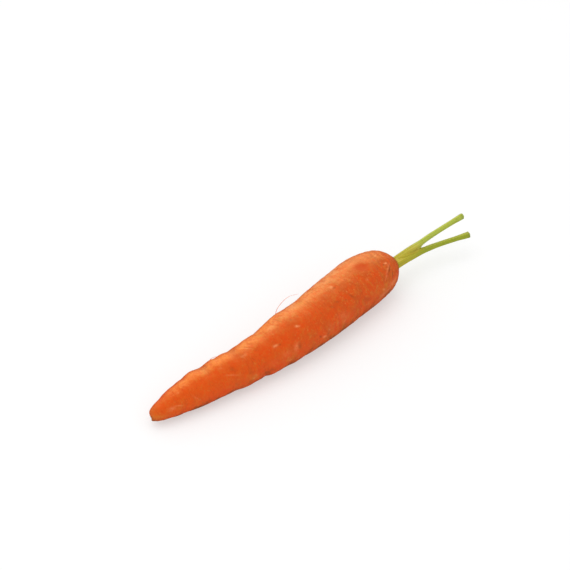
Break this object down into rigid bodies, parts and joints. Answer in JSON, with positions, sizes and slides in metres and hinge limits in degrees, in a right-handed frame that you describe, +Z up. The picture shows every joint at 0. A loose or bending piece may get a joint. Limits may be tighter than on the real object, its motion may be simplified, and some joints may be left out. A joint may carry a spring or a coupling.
{
  "type": "carrot",
  "caption": "Whole fresh carrot root with a wrinkled tapering body and short cut leaf stalks, lying on its side.",
  "frame": {"origin": "middle of the underside of the bounding box, on the surface that the carrot lies on", "axes": "+X from the root's tip to the cut leaf stalks, +Z up"},
  "size_m": [0.222, 0.0332, 0.0295],
  "materials": {
    "root_skin": "waxy orange root skin, softly shining, with fine cross wrinkles and pale scars",
    "stalk_pale": "ribbed yellow-green leaf stalk, satin",
    "stalk_green": "ribbed lime-green leaf stalk, satin"
  },
  "bodies": {
    "root": {"taproot": "root_skin", "leaf_stalk_upper": "stalk_pale", "leaf_stalk_lower": "stalk_green"}
  },
  "joints": []
}
